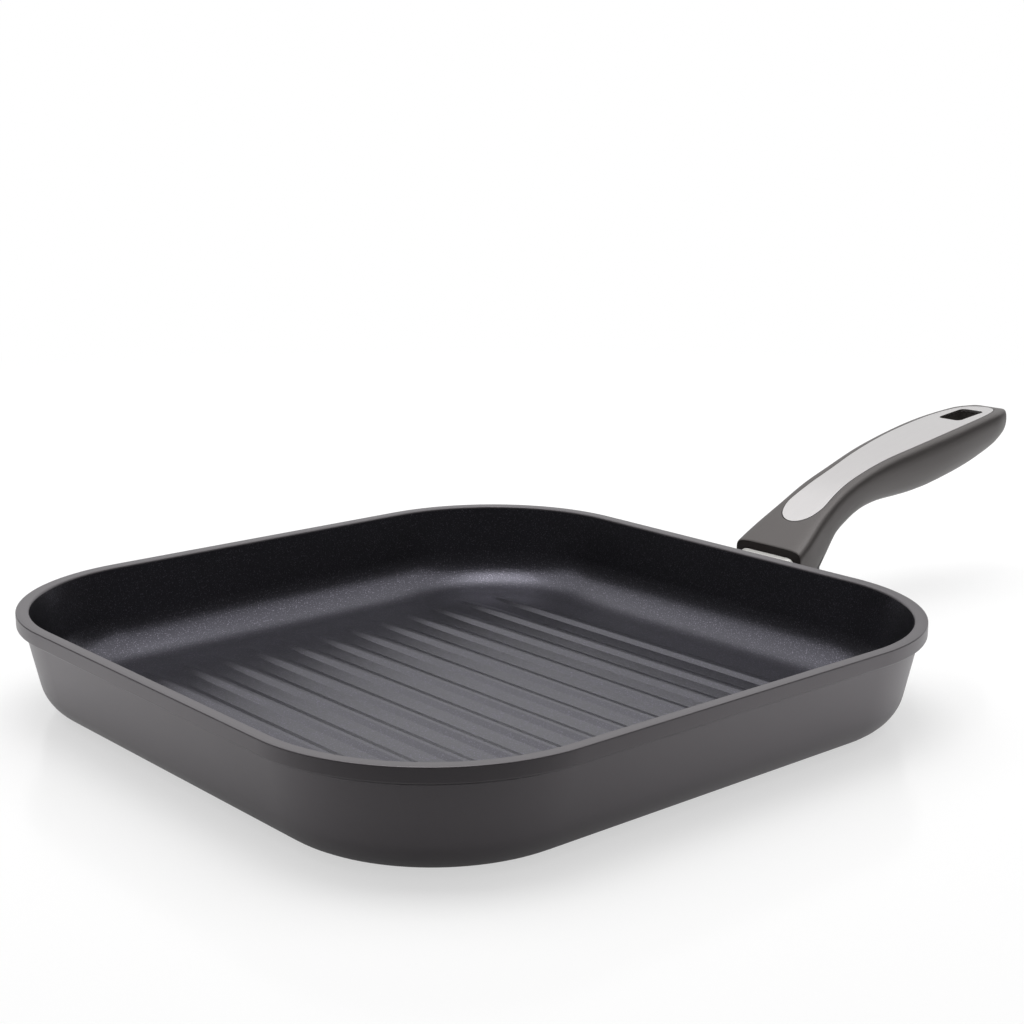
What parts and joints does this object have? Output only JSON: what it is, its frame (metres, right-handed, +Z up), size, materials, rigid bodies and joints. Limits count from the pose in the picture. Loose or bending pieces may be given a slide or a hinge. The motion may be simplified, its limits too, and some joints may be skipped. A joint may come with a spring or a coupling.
{
  "type": "grill pan",
  "caption": "Square ribbed grill pan of cast aluminium with round corners, a proud rim band and a curved soft-feel handle with a steel inlay and a hanging hole.",
  "frame": {"origin": "centre of the pan's flat base, on the surface it stands on", "axes": "+X from the pan towards the tip of the handle, +Y along the ribs, +Z up"},
  "size_m": [0.48, 0.285, 0.0793],
  "materials": {
    "cast_pan": "dark satin coating outside, black non-stick coating inside",
    "neck_steel": "polished stainless",
    "grip_moulding": "soft matt grey coating",
    "inlay_steel": "satin stainless with a bright edge",
    "fastener_steel": "zinc-plated"
  },
  "bodies": {
    "root": {"pan_body": "cast_pan", "flame_guard": "neck_steel", "handle_grip": "grip_moulding", "handle_inlay": "inlay_steel", "handle_screw": "fastener_steel", "spring_washer": "fastener_steel", "thread_insert": "fastener_steel"}
  },
  "joints": []
}
